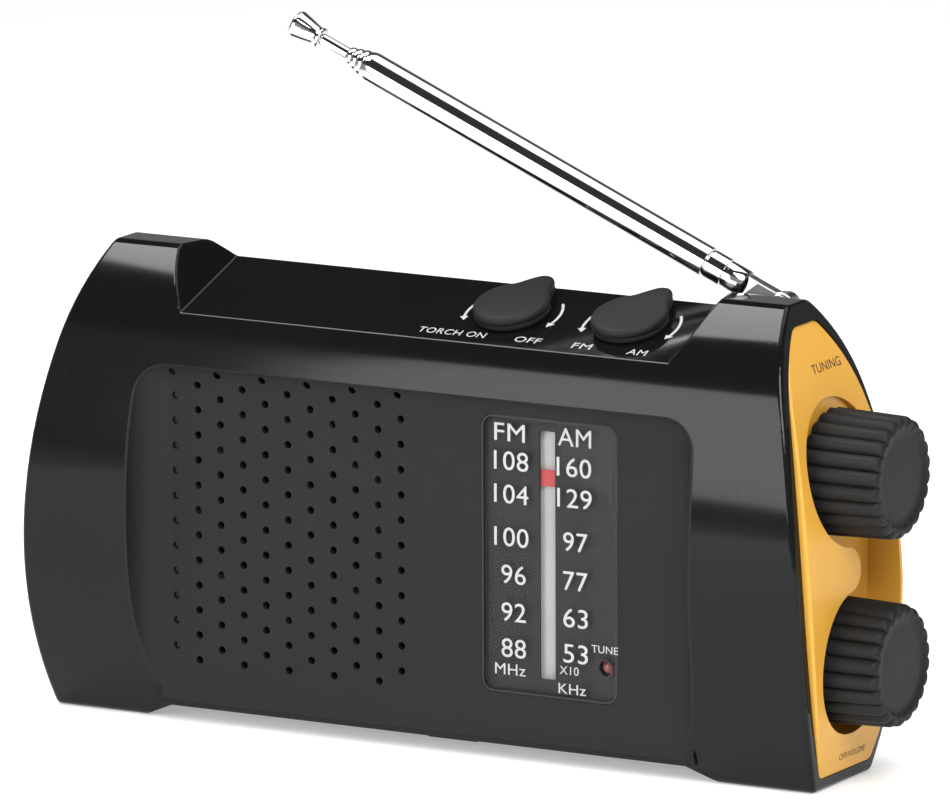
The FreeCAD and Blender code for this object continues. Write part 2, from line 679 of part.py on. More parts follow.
def beltWire(low, lowRadius, high, highRadius):
    # Open belt round two pulleys, in the plane of its two centres (u, v).
    across = (high[0] - low[0], high[1] - low[1])
    span = math.hypot(*across)
    heading = math.atan2(across[1], across[0])
    lean = math.acos((lowRadius - highRadius) / span)
    def at(centre, radius, angle):
        turn = heading + angle
        return (centre[0] + radius * math.cos(turn), centre[1] + radius * math.sin(turn))
    return path([
        at(low, lowRadius, lean), (at(low, lowRadius, math.pi), at(low, lowRadius, -lean)),
        at(high, highRadius, -lean), (at(high, highRadius, 0), at(high, highRadius, lean)),
    ])


def makeTuningDrive():
    gearX = 52.0
    rod = cylinder("tuning_rod", "shaftRadius", "knobStart + 14 - 49", (49, 0, "tuningZ"), "X")
    drive = gear("drive_pinion", d.driveTeeth, d.driveModule, 2.6, d.shaftRadius - 0.5,
                 (gearX, 0, d.tuningZ), "X")
    node("tuning_shaft", fuse("tuning_shaft_blank", rod, drive))
    drum = lathe("drum", [(d.shaftRadius, -2.2), (d.drumRadius + 1.2, -2.2), (d.drumRadius + 1.2, -1.3),
                          (d.drumRadius - 0.5, -1.3), (d.drumRadius - 0.5, 1.3), (d.drumRadius + 1.2, 1.3),
                          (d.drumRadius + 1.2, 2.2), (d.shaftRadius, 2.2)], ("cordX", 0, "tuningZ"), "X")
    node("cord_drum", drum)
    centre = 1.5 * d.driveTeeth * d.driveModule
    low = d.tuningZ - centre
    wheel = gear("capacitor_gear", 2 * d.driveTeeth, d.driveModule, 2.6, 0, (gearX, 0, low), "X",
                 math.pi / (2 * d.driveTeeth))
    wheelRod = cylinder("capacitor_rod", 1.5, 10, (45, 0, low), "X")
    node("capacitor_gear", fuse("capacitor_wheel", wheel, wheelRod))
    case = block("capacitor_box", (11, 19, 19), (39, -9.5, low - 9.5))
    bore = cylinder("capacitor_bore", "1.5 + runFit", 10, (44.8, 0, low), "X")
    node("tuning_capacitor", cut("capacitor_cut", case, bore))
    idler = lathe("idler", [(1.0, -2.0), (d.idlerRadius + 0.9, -2.0), (d.idlerRadius + 0.9, -1.3),
                            (d.idlerRadius - 0.5, -1.3), (d.idlerRadius - 0.5, 1.3),
                            (d.idlerRadius + 0.9, 1.3),
                            (d.idlerRadius + 0.9, 2.0), (1.0, 2.0)], ("cordX", "idlerY", "idlerZ"), "X")
    node("cord_idler", idler)
    node("idler_pin", cylinder("idler_rod", "1.0 - runFit", 8.0, ("cordX - 3.5", "idlerY", "idlerZ"), "X"))
    half = d.cordThick / 2
    drumEnd = (0.0, d.tuningZ)
    idlerEnd = (d.idlerY, d.idlerZ)
    outer = prism("cord_outer", "YZ", beltWire(idlerEnd, d.idlerRadius + half, drumEnd, d.drumRadius + half),
                  d.cordX - 0.5, 1.0)
    within = 0.2 - half
    inside = beltWire(idlerEnd, d.idlerRadius + within, drumEnd, d.drumRadius + within)
    inner = prism("cord_inner", "YZ", inside, d.cordX - 1.0, 2.0)
    node("dial_belt", cut("belt", outer, inner))


def makeVolume():
    shaft = cylinder("volume_rod", "shaftRadius", "knobStart + 14 - 76", (76, 0, "volumeZ"), "X")
    node("volume_shaft", shaft)
    case = cylinder("volume_case", 8.5, 9.0, (73, 0, "volumeZ"), "X")
    bore = cylinder("volume_bore", "shaftRadius + runFit", 10, (75.8, 0, "volumeZ"), "X")
    node("volume_control", cut("volume_cut", case, bore))


# ---- torch -----------------------------------------------------------------------------


def makeTorch():
    r = d.torchRadius
    rim = d.bezelRadius
    outline = [(r - 0.6, 0), (rim, 0), (rim, 0.6), (rim - 0.6, 1.2), (rim, 2.0), (rim, 8.0),
               (r + 0.1, 8.0), (r + 0.1, 2.0), (r - 0.6, 2.0)]
    node("torch_bezel", lathe("bezel", outline, ("-bezelFace", 0, "torchZ"), "X"))
    node("torch_lens", cylinder("lens", "torchRadius", 1.5, ("-bezelFace + 2.05", 0, "torchZ"), "X"))
    cup = [(r, 3.6), (r, 4.6), (r - 0.6, 5.0), (11.5, 16.6), (10.0, 17.6), (3.0, 17.6), (3.0, 16.6),
           (9.6, 16.6), (r - 1.6, 3.6)]
    node("torch_reflector", lathe("reflector", cup, ("-bezelFace", 0, "torchZ"), "X"))
    node("torch_board", cylinder("torch_disc", 11.0, 1.2, ("-bezelFace + 19.0", 0, "torchZ"), "X"))
    single = cylinder("led_body", 2.4, 7.0, ("-bezelFace + 12.0", 0, "torchZ"), "X")
    dome = ball("led_dome", 2.4, ("-bezelFace + 12.0", 0, "torchZ"))
    node("torch_led", fuse("led", single, dome))


# ---- speaker, board, cells, jack -------------------------------------------------------


def makeSpeaker():
    at = ("speakerX", -14.4, "speakerZ")
    node("speaker_frame", lathe("frame", [
        (20.6, 0), (25.0, 0), (25.0, 1.2), (21.6, 1.2), (13.2, 8.2), (13.2, 9.2), (8.0, 9.2), (8.0, 8.2),
        (11.6, 8.2), (20.6, 1.4)], at, "Y"))
    node("speaker_cone", lathe("cone_skin", [
        (0, 4.4), (5.0, 5.6), (19.8, 0.5), (20.4, 0.5), (20.4, 0.9), (5.4, 6.2), (0, 5.0)], at, "Y"))
    node("speaker_magnet", cylinder("magnet", 12.5, 4.6, ("speakerX", -5.2, "speakerZ"), "Y"))


def makeElectrics():
    board = padBody("board", "XZ", path([(17, 44), (59, 44), (59, 80), (17, 80)]), -12.2, 1.6)
    node("main_board", board)
    node("ferrite_rod", cylinder("ferrite", 4.0, 50.0, (-49, 1.0, 82.0), "X"))
    coilOuter = cylinder("coil_outer", 5.0, 18.0, (-28, 1.0, 82.0), "X")
    coilInner = cylinder("coil_inner", 4.0, 30.0, (-34, 1.0, 82.0), "X")
    node("ferrite_coil", cut("coil", coilOuter, coilInner))
    body = block("jack_block", (9, 11.0, 9), ("jackX - 4.5", 3.4, "jackZ - 4.5"))
    nose = cylinder("jack_nose", 2.9, 2.4, ("jackX", 14.25, "jackZ"), "Y")
    bore = cylinder("jack_bore", 1.8, 12.0, ("jackX", 4.7, "jackZ"), "Y")
    node("earphone_jack", cut("jack", fuse("jack_blank", body, nose), bore))
    cells = []
    for i in range(3):
        z = d.cellZ + 10.6 * i
        can = cylinder(f"cell_can_{i}", "cellRadius", "cellLength - 1", ("cellX", "cellY", z), "X")
        tip = cylinder(f"cell_tip_{i}", 1.9, 1.0, ("cellX + cellLength - 1", "cellY", z), "X")
        cells.append(fuse(f"cell_{i}", can, tip))
    pack = doc.addObject("Part::Compound", "cell_pack")
    pack.Links = cells
    node("battery_cells", pack)
    door = padBody("door", "XZ", path([
        (d.doorLeft + 0.3, d.doorLow + 0.3), (d.doorRight - 0.3, d.doorLow + 0.3),
        (d.doorRight - 0.3, d.doorHigh - 0.3), (d.doorLeft + 0.3, d.doorHigh - 0.3)]), "-waistHalfDepth", 1.8)
    node("battery_door", door)
    screws = []
    for i, (x, z) in enumerate(screwPlaces):
        head = cylinder(f"screw_head_{i}", 2.2, 1.5, (x, "screwSeat", z), "Y")
        rod = cylinder(f"screw_rod_{i}", "screwRadius", 12.9, (x, 2.0, z), "Y")
        cross = block(f"screw_cross_{i}", (2.4, 1.0, 0.5), (x - 1.2, 15.8, z - 0.25))
        cross2 = block(f"screw_cross2_{i}", (0.5, 1.0, 2.4), (x - 0.25, 15.8, z - 1.2))
        screws.append(cut(f"screw_{i}", fuse(f"screw_blank_{i}", head, rod), cross, cross2))
    group = doc.addObject("Part::Compound", "screw_group")
    group.Links = screws
    node("housing_screws", group)


# ---- dynamo ----------------------------------------------------------------------------


def makeDynamo():
    m = d.gearModule
    span = (d.wheelTeeth + d.pinionTeeth) * m / 2
    z = d.crankZ
    half = math.pi / d.pinionTeeth
    wheelBack, wheelFront = 11.6, 8.4
    rod = cylinder("crank_rod", "shaftRadius", "armBack - 1.1 - 5.0", (0, 5.0, "crankZ"), "Y")
    teeth = gear("crank_teeth", d.wheelTeeth, m, 2.4, 0, (0, wheelBack, z), "Y")
    node("crank_gear", fuse("crank_gear_blank", rod, teeth))
    low = gear("idler_pinion", d.pinionTeeth, m, 3.4, 0, (-span, wheelBack - 1.0, z), "Y", half)
    big = gear("idler_wheel", d.wheelTeeth, m, 2.4, 0, (-span, wheelFront, z), "Y")
    blank = fuse("idler_blank", low, big)
    node("idler_gear", cut("idler_cut", blank, cylinder("idler_hole", 1.2, 20, (-span, 0, z), "Y")))
    node("idler_axle", cylinder("idler_axle_rod", "1.2 - runFit", 9.9, (-span, 4.5, z), "Y"))
    small = gear("generator_teeth", d.pinionTeeth, m, 3.0, 0, (-2 * span, 8.1, z), "Y", half)
    axle = cylinder("generator_rod", 1.0, 8, (-2 * span, 2.4, z), "Y")
    node("generator_pinion", fuse("generator_blank", small, axle))
    can = cylinder("generator_drum", 11.5, 7.4, (-2 * span, 0.2, z), "Y")
    bore = cylinder("generator_bore", "1.0 + runFit", 8, (-2 * span, 2.2, z), "Y")
    node("generator_case", cut("generator_cut", can, bore))


def makeCrank():
    z = d.crankZ
    h = d.armHalf
    reach = d.crankReach
    arm = padBody("arm", "XZ", path([
        (0, z - h), ((h, z), (0, z + h)), (-reach - 2.5, z + h - 1.3),
        ((-reach - 6.5, z), (-reach - 2.5, z - h + 1.3)),
    ]), "-armBack", "armBack - armFront")
    slot = rounded(-reach - 3.2, -reach + d.gripLength + 6.2, z - 3.2, z + 3.2, 1.0)
    pocket(arm, bodySketch(arm, "XZ", slot, "-armBack"), "armBack - armFront", True)
    pocket(arm, circleSketch(arm, "XZ", 0, z, "shaftRadius", "-armFront"), "armBack - armFront - 1.0", False)
    pin = cylinder("fold_bore", 0.9, 20, (-reach, (d.armFront + d.armBack) / 2, z - 10), "Z")
    node("crank_arm", cut("arm_cut", arm, pin))
    y = (d.armFront + d.armBack) / 2
    node("fold_pin", cylinder("fold_rod", 0.9, 10.0, (-reach, y, z - 5.0), "Z"))
    knuckle = cylinder("knuckle", 2.4, 5.8, (-reach, y, z - 2.9), "Z")
    spindle = cylinder("spindle", 1.2, "gripLength + 2.4", (-reach, y, z), "X")
    head = cylinder("spindle_head", 1.9, 1.0, (f"gripLength + 2.4 - {reach}", y, z), "X")
    eye = cylinder("fold_eye", "0.9 + runFit", 20, (-reach, y, z - 10), "Z")
    node("grip_spindle", cut("spindle_cut", fuse("spindle_blank", knuckle, spindle, head), eye))
    tube = cylinder("grip_outer", "gripRadius", "gripLength - 0.9", (-reach + 3.0, y, z), "X")
    bore = cylinder("grip_bore", "1.2 + runFit", 40, (-reach + 1.0, y, z), "X")
    node("crank_grip", cut("grip_cut", tube, bore))


# ---- antenna ---------------------------------------------------------------------------


def alongAntenna(item, start):
    # Own Z runs out along the antenna, from the tilt axis; own Y stays on the tilt axis.
    a = math.radians(d.antennaRise)
    out = Vector(-math.cos(a), 0, math.sin(a))
    pivot = Vector(d.antennaX, d.antennaY, d.antennaZ)
    item.Placement = Placement(pivot + out * start, Rotation(Vector(0, 1, 0), d.antennaRise - 90))
    return item


def makeAntenna():
    x, y, z = d.antennaX, d.antennaY, d.antennaZ
    stem = cylinder("turret_stem", "stemRadius", 17.2, ("antennaX", "antennaY", 76.8))
    base = cylinder("turret_base", "turretRadius", "turretTop - turretFloor - 0.3",
                    ("antennaX", "antennaY", "turretFloor + 0.3"))
    wide = d.tongueHalf + 0.1 + d.earThick
    ears = []
    for side in (-1, 1):
        near = y + side * (d.tongueHalf + 0.1)
        start = near if side > 0 else near - d.earThick
        lengths = (5.8, d.earThick, d.antennaZ - d.turretTop + 0.5)
        plate = block(f"ear_plate_{side}", lengths, (x - 2.9, start, d.turretTop - 0.5))
        disc = cylinder(f"ear_disc_{side}", 2.9, d.earThick, (x, start, z), "Y")
        ears += [plate, disc]
    eye = cylinder("turret_eye", 1.0, 20, (x, y - 10, z), "Y")
    node("antenna_turret", cut("turret_cut", fuse("turret_blank", stem, base, *ears), eye))
    rod = cylinder("tilt_rod", 1.0, 2 * wide + 0.6, (x, y - wide - 0.3, z), "Y")
    heads = [cylinder(f"tilt_head_{s}", 1.7, 0.5, (x, y + s * (wide + 0.3) - 0.25, z), "Y") for s in (-1, 1)]
    node("tilt_pin", fuse("tilt_blank", rod, *heads))
    nut = cylinder("antenna_nut_body", 2.6, 2.0, ("antennaX", "antennaY", "nutLow"))
    bore = cylinder("antenna_nut_bore", "stemRadius", 5, ("antennaX", "antennaY", 76))
    node("antenna_nut", cut("antenna_nut_cut", nut, bore))

    disc = cylinder("tongue_disc", "tongueRadius", "2 * tongueHalf",
                    ("antennaX", "antennaY - tongueHalf", "antennaZ"), "Y")
    lengths = ("2 * tongueRadius - 1.6", "2 * tongueHalf", "tubeStart + 2.0")
    bar = alongAntenna(block("tongue_bar", lengths, (0, 0, 0)), 0)
    aside = Vector(-d.tongueRadius + 0.8, -d.tongueHalf, 0)
    bar.Placement = bar.Placement.multiply(Placement(aside, Rotation()))
    bore = cylinder("tongue_eye", "1.0 + runFit", 20, (x, y - 10, z), "Y")
    tongue = cut("tongue_cut", fuse("tongue_blank", disc, bar), bore)
    node("antenna_tongue", tongue)

    radii = [d.tubeOuter - d.tubeStep * i for i in range(5)]
    wall = 0.35
    starts = [d.tubeStart + 2.0] + [d.tubeStart + 4.0 + 1.6 * i for i in range(1, 4)]
    ends = [d.tubeEnd + 1.6 * i for i in range(4)]
    for i in range(4):
        length = ends[i] - starts[i]
        outer = alongAntenna(cylinder(f"section_outer_{i}", radii[i], length), starts[i])
        inner = alongAntenna(cylinder(f"section_inner_{i}", radii[i] - wall, length + 2), starts[i] + 1.5)
        node("antenna_section_" + "abcd"[i], cut(f"section_{i}", outer, inner))
    tipStart = d.tubeStart + 10.5
    rodEnd = d.tubeEnd + 4.8 + d.tipRun
    rodPart = alongAntenna(cylinder("tip_rod", 1.3, rodEnd - 1.0 - tipStart), tipStart)
    cap = alongAntenna(cone("tip_cone", "capNeck", "capMouth", "capLength"), rodEnd)
    collar = alongAntenna(cylinder("tip_collar", 2.4, 1.0), rodEnd - 1.0)
    crown = alongAntenna(cone("tip_crown", "capMouth", "capMouth - 0.7", 0.8), rodEnd + d.capLength)
    node("antenna_rod", rodPart)
    node("antenna_cap", fuse("cap", collar, cap, crown))


makeShells()
makeEndPanels()
makeEndKnob("tuning_knob", "tuningZ")
makeEndKnob("volume_knob", "volumeZ")
switches = doc.addObject("Part::Compound", "switches")
switches.Links = [makeSelector("torch_selector", d.torchSelectorX),
                  makeSelector("band_selector", d.bandSelectorX)]
node("selector_switches", switches)
makeDial()
makePointer()
makeTuningDrive()
makeVolume()
makeTorch()
makeSpeaker()
makeElectrics()
makeDynamo()
makeCrank()
makeAntenna()
doc.recompute()

for item in doc.Objects:
    for word in ("Invalid", "Error"):
        if word in item.State:
            raise RuntimeError(f"{item.Name} is {item.State}")
os.makedirs("parts", exist_ok=True)
for label, item in nodes.items():
    shape = item.Shape
    if shape.isNull() or not shape.isValid() or shape.Volume <= 0:
        raise RuntimeError(f"{label} has no valid shape")
    shape.exportStep(f"parts/{label}.step")
    print(f"{label:20s} {len(shape.Solids)} solid {shape.Volume:10.1f} mm3")
print(len(nodes), "nodes")
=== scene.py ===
import json
import math

import bmesh
import bpy
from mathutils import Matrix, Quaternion, Vector


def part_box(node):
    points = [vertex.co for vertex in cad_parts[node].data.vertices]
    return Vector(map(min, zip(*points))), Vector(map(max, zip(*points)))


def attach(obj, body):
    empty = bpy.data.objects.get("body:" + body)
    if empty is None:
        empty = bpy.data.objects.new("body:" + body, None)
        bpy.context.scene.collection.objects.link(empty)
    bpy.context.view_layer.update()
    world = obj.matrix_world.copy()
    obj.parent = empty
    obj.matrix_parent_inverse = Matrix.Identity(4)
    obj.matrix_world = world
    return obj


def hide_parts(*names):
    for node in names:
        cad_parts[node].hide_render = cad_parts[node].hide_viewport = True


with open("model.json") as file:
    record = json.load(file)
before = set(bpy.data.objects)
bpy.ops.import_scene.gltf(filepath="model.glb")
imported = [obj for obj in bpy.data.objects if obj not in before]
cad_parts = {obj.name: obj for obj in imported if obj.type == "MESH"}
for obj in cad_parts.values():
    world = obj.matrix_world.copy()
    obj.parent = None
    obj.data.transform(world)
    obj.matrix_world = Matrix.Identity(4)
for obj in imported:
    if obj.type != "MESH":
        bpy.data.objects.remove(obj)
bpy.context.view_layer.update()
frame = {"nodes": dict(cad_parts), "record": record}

# Emergency radio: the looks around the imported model.
# Sizes below are millimetres unless a name says otherwise.
mm = 0.001
record = frame["record"]
bodyOf = {node: body for body, members in record["behaviour"]["bodies"].items() for node in members}
slotOf = {row["node"]: row["material_slot"] for row in record["subparts"]}
scene = bpy.context.scene
print("frame loaded:", len(frame["nodes"]), "nodes")


# Shader helpers.

class Wire:
    # A socket that takes part in arithmetic; every operator adds a Math node.
    def __init__(self, finish, socket):
        self.finish = finish
        self.socket = socket

    def math(self, operation, first, second):
        return self.finish.add("ShaderNodeMath", {"operation": operation}, {0: first, 1: second})

    def __add__(self, other):
        return self.math("ADD", self, other)

    def __sub__(self, other):
        return self.math("SUBTRACT", self, other)

    def __mul__(self, other):
        return self.math("MULTIPLY", self, other)

    def __rsub__(self, other):
        return self.math("SUBTRACT", other, self)

    __radd__ = __add__
    __rmul__ = __mul__


class Finish:
    # One material, or the sky: a shader and whatever feeds it.
    def __init__(self, name, owner=None):
        self.material = owner or bpy.data.materials.new(name)
        self.material.use_nodes = True
        self.tree = self.material.node_tree
        self.tree.nodes.clear()

    def add(self, kind, settings=None, values=None, out=0):
        node = self.tree.nodes.new(kind)
        for key, value in (settings or {}).items():
            if key == "stops":
                self.setStops(node.color_ramp, value)
            else:
                setattr(node, key, value)
        for key, value in (values or {}).items():
            if isinstance(value, Wire):
                self.tree.links.new(value.socket, node.inputs[key])
            else:
                node.inputs[key].default_value = value
        return Wire(self, node.outputs[out]) if len(node.outputs) else None

    def setStops(self, ramp, stops):
        while len(ramp.elements) < len(stops):
            ramp.elements.new(0.5)
        for element, (place, shade) in zip(ramp.elements, stops):
            element.position = place
            element.color = (shade, shade, shade, 1)

    def point(self):
        return self.add("ShaderNodeTexCoord", out="Object")

    def stretched(self, scale):
        return self.add("ShaderNodeVectorMath", {"operation": "MULTIPLY"}, {0: self.point(), 1: scale})

    def noise(self, perMetre, detail=2.0, along=None):
        place = self.stretched(along) if along else self.point()
        return self.add("ShaderNodeTexNoise", None, {"Vector": place, "Scale": perMetre, "Detail": detail})

    def ramp(self, factor, stops):
        return self.add("ShaderNodeValToRGB", {"stops": stops}, {"Fac": factor})

    def blend(self, factor, first, second):
        colours = {"Factor": factor, 6: (*first, 1), 7: (*second, 1)}
        return self.add("ShaderNodeMix", {"data_type": "RGBA"}, colours, out=2)

    def bump(self, height, depth, strength=1.0):
        values = {"Height": height, "Distance": depth * mm, "Strength": strength}
        return self.add("ShaderNodeBump", None, values)

    def surface(self, values):
        shader = self.add("ShaderNodeBsdfPrincipled", None, values)
        self.add("ShaderNodeOutputMaterial", None, {"Surface": shader})
        return self.material


# Finishes, one function each.

def glossBlack(name):
    look = {"dark": (0.0036, 0.0042, 0.0042), "light": (0.0054, 0.0060, 0.0060), "polish": 0.07, "haze": 0.05}
    f = Finish(name)
    handling = f.noise(45, 4)
    peel = f.noise(700, 1)
    scuffs = f.ramp(f.noise(900, 3, (1, 1, 0.08)), [(0.62, 0), (0.72, 1)])
    return f.surface({
        "Base Color": f.blend(handling, look["dark"], look["light"]),
        "Roughness": look["polish"] + handling * look["haze"] + scuffs * 0.05,
        "IOR": 1.29,
        "Normal": f.bump(peel, 0.002, 0.35),
    })


def mattePanel(name):
    look = {"dark": (0.0078, 0.0080, 0.0077), "light": (0.0140, 0.0140, 0.0134), "rough": 0.5}
    f = Finish(name)
    spark = f.noise(2600, 3)
    cloud = f.noise(30, 3)
    return f.surface({
        "Base Color": f.blend(spark * 0.7 + cloud * 0.3, look["dark"], look["light"]),
        "Roughness": look["rough"] + spark * 0.16,
        "IOR": 1.28,
        "Normal": f.bump(spark, 0.09, 0.8),
    })


def yellowPlastic(name):
    look = {"deep": (0.60, 0.300, 0.034), "bright": (0.70, 0.370, 0.052), "rough": 0.4}
    f = Finish(name)
    tone = f.noise(28, 3)
    grain = f.noise(3400, 2)
    wear = f.ramp(f.noise(210, 5), [(0.6, 0), (0.75, 1)])
    return f.surface({
        "Base Color": f.blend(tone * 0.8 + grain * 0.2, look["deep"], look["bright"]),
        "Roughness": look["rough"] + grain * 0.1 - wear * 0.06,
        "IOR": 1.46,
        "Normal": f.bump(grain, 0.03, 0.5),
    })


def softBlack(name):
    look = {"dark": (0.0060, 0.0062, 0.0062), "light": (0.0150, 0.0152, 0.0154), "rough": 0.5}
    f = Finish(name)
    grain = f.noise(2300, 4)
    dust = f.noise(160, 4)
    return f.surface({
        "Base Color": f.blend(grain * 0.6 + dust * 0.4, look["dark"], look["light"]),
        "Roughness": look["rough"] + dust * 0.14,
        "IOR": 1.30,
        "Normal": f.bump(grain, 0.07, 0.8),
    })


def chromePlate(name):
    f = Finish(name)
    drawn = f.noise(500, 3, (1, 1, 1))
    spots = f.ramp(f.noise(260, 5), [(0.6, 0), (0.78, 1)])
    return f.surface({
        "Base Color": f.blend(spots, (0.64, 0.65, 0.66), (0.52, 0.53, 0.54)),
        "Metallic": 1.0,
        "Roughness": 0.045 + drawn * 0.05 + spots * 0.05,
        "Normal": f.bump(drawn, 0.002, 0.4),
    })


def clearPlastic(name, opacity, tint=(0.02, 0.02, 0.022)):
    f = Finish(name)
    haze = f.noise(320, 4)
    return f.surface({
        "Base Color": f.blend(haze, tint, [min(1.0, c * 1.4) for c in tint]),
        "Roughness": 0.04 + haze * 0.05,
        "Alpha": opacity + haze * 0.03,
        "IOR": 1.49,
    })


def plainPlastic(name, colour, rough=0.45, grainSize=2000, grainDepth=0.03):
    f = Finish(name)
    grain = f.noise(grainSize, 3)
    tone = f.noise(90, 3)
    dark = [c * 0.86 for c in colour]
    light = [min(1.0, c * 1.12) for c in colour]
    return f.surface({
        "Base Color": f.blend(tone * 0.6 + grain * 0.4, dark, light),
        "Roughness": rough + grain * 0.1,
        "Normal": f.bump(grain, grainDepth, 0.6),
    })


def platedMetal(name, colour, rough=0.3):
    f = Finish(name)
    brushed = f.noise(1500, 3, (1, 0.1, 1))
    stain = f.noise(150, 4)
    dark = [c * 0.75 for c in colour]
    return f.surface({
        "Base Color": f.blend(stain, dark, colour),
        "Metallic": 1.0,
        "Roughness": rough + brushed * 0.15,
        "Normal": f.bump(brushed, 0.01, 0.5),
    })


def lampRed(name):
    f = Finish(name)
    depth = f.noise(700, 2)
    return f.surface({
        "Base Color": f.blend(depth, (0.16, 0.03, 0.025), (0.30, 0.06, 0.05)),
        "Roughness": 0.12 + depth * 0.08,
        "Coat Weight": 0.6,
    })


def boardGreen(name):
    f = Finish(name)
    tracks = f.ramp(f.noise(420, 1, (1, 0.2, 1)), [(0.5, 0), (0.53, 1)])
    return f.surface({
        "Base Color": f.blend(tracks, (0.012, 0.075, 0.03), (0.03, 0.16, 0.06)),
        "Roughness": 0.35 - tracks * 0.1,
        "Normal": f.bump(tracks, 0.03, 0.6),
    })


def windingCopper(name):
    f = Finish(name)
    turns = f.add("ShaderNodeTexWave", {"bands_direction": "X"}, {"Vector": f.point(), "Scale": 900.0})
    return f.surface({
        "Base Color": f.blend(turns, (0.28, 0.10, 0.035), (0.62, 0.29, 0.12)),
        "Metallic": 0.9,
        "Roughness": 0.28 + turns * 0.1,
        "Normal": f.bump(turns, 0.08, 0.9),
    })


def threadBeige(name):
    f = Finish(name)
    strands = {"Vector": f.point(), "Scale": 1400.0}
    twist = f.add("ShaderNodeTexWave", {"bands_direction": "DIAGONAL"}, strands)
    return f.surface({
        "Base Color": f.blend(twist, (0.42, 0.38, 0.29), (0.66, 0.61, 0.50)),
        "Roughness": 0.8 - twist * 0.05,
        "Normal": f.bump(twist, 0.05, 0.8),
    })


finishes = {
    "gloss_black": glossBlack("glossBlack"),
    "matte_panel": mattePanel("mattePanel"),
    "yellow_plastic": yellowPlastic("yellowPlastic"),
    "soft_black": softBlack("softBlack"),
    "clear_window": clearPlastic("clearWindow", 0.06, (0.008, 0.008, 0.009)),
    "scale_black": plainPlastic("scaleBlack", (0.0085, 0.0087, 0.0084), 0.55, 2600, 0.03),
    "track_white": plainPlastic("trackWhite", (0.50, 0.50, 0.49), 0.42),
    "pointer_red": plainPlastic("pointerRed", (0.52, 0.06, 0.065), 0.35),
    "lamp_red": lampRed("lampRed"),
    "led_clear": clearPlastic("ledClear", 0.45, (0.75, 0.78, 0.82)),
    "mirror_finish": platedMetal("mirrorFinish", (0.93, 0.93, 0.94), 0.03),
    "antenna_chrome": chromePlate("antennaChrome"),
    "plated_steel": platedMetal("platedSteel", (0.56, 0.56, 0.57)),
    "board_green": boardGreen("boardGreen"),
    "case_grey": plainPlastic("caseGrey", (0.09, 0.09, 0.1), 0.5),
    "paper_cone": plainPlastic("paperCone", (0.035, 0.035, 0.036), 0.8, 1200, 0.1),
    "ferrite_grey": plainPlastic("ferriteGrey", (0.1, 0.1, 0.1), 0.6),
    "copper_wire": windingCopper("windingCopper"),
    "dial_thread": threadBeige("dialThread"),
    "cell_green": plainPlastic("cellGreen", (0.04, 0.27, 0.1), 0.3),
}
legendGrey = plainPlastic("legendGrey", (0.44, 0.44, 0.43), 0.5, 2400, 0.01)
legendBlack = plainPlastic("legendBlack", (0.012, 0.011, 0.010), 0.5, 2400, 0.01)
# Near-black used as painted shade: the thin ring round the dial window stands in for the shade in the groove
# there. The ring round the tune lamp wears it too.
grooveShadeAndBezelBlack = plainPlastic("grooveShadeAndBezelBlack", (0.004, 0.004, 0.004), 0.35, 2400, 0.01)
print("finishes made:", len(finishes) + 3)


# Mesh helpers.

def place(name, bm, node, material=None, stands=True, smooth=35.0):
    # Puts a mesh on its node's body. It stands for the node unless it only adds detail.
    mesh = bpy.data.meshes.new(name)
    bmesh.ops.recalc_face_normals(bm, faces=bm.faces)
    for edge in bm.edges:
        edge.smooth = len(edge.link_faces) == 2 and edge.calc_face_angle(0) < math.radians(smooth)
    for face in bm.faces:
        face.smooth = True
    bm.to_mesh(mesh)
    bm.free()
    piece = bpy.data.objects.new(name, mesh)
    scene.collection.objects.link(piece)
    mesh.materials.append(material or finishes[slotOf[node]])
    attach(piece, bodyOf[node])
    if stands:
        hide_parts(node)
    return piece


def weighted(piece):
    modifier = piece.modifiers.new("even shading", "WEIGHTED_NORMAL")
    modifier.keep_sharp = True
    return piece


def welded(node):
    bm = bmesh.new()
    bm.from_mesh(frame["nodes"][node].data)
    bmesh.ops.remove_doubles(bm, verts=bm.verts, dist=0.002 * mm)
    return bm


def smoothed(name, node, smooth=28.0):
    # The node's own shape with its facets welded, for even reflections.
    return weighted(place(name, welded(node), node, smooth=smooth))


def softened(name, node, width, smooth=28.0):
    # The same with its edges rounded.
    bm = welded(node)
    bmesh.ops.dissolve_limit(bm, angle_limit=math.radians(1.0), verts=bm.verts, edges=bm.edges)
    piece = place(name, bm, node, smooth=smooth)
    bevel = piece.modifiers.new("edges", "BEVEL")
    bevel.width = width * mm
    bevel.segments = 3
    bevel.angle_limit = math.radians(50)
    bevel.harden_normals = True
    return weighted(piece)


def skin(bm, loops, closed=False):
    # Joins a list of equal point rings with quads; a ring of one point closes as a fan.
    rings = [[bm.verts.new(p) for p in loop] for loop in loops]
    pairs = list(zip(rings, rings[1:])) + ([(rings[-1], rings[0])] if closed else [])
    for low, high in pairs:
        count = max(len(low), len(high))
        for i in range(count):
            j = (i + 1) % count
            corners = [low[i % len(low)], low[j % len(low)], high[j % len(high)], high[i % len(high)]]
            corners = [v for k, v in enumerate(corners) if v not in corners[:k]]
            if len(corners) > 2:
                bm.faces.new(corners)
    return rings


def turned(profile, origin, axis, sides=72, closed=False):
    # A lathed form: profile holds (distance along the axis, radius).
    axis = Vector(axis).normalized()
    across = axis.orthogonal().normalized()
    up = axis.cross(across)
    loops = []
    for along, radius in profile:
        centre = (Vector(origin) + axis * along) * mm
        if radius < 1e-6:
            loops.append([centre])
            continue
        loop = []
        for i in range(sides):
            angle = 2 * math.pi * i / sides
            loop.append(centre + (across * math.cos(angle) + up * math.sin(angle)) * radius * mm)
        loops.append(loop)
    bm = bmesh.new()
    skin(bm, loops, closed)
    return bm


def roundedEdge(along, radius, size, steps):
    # Points of a quarter-round between a side at `radius` and a face at `along`.
    points = []
    for i in range(steps + 1):
        a = math.radians(90 * i / steps)
        points.append((along - size * (1 - math.sin(a)), radius - size * (1 - math.cos(a))))
    return points


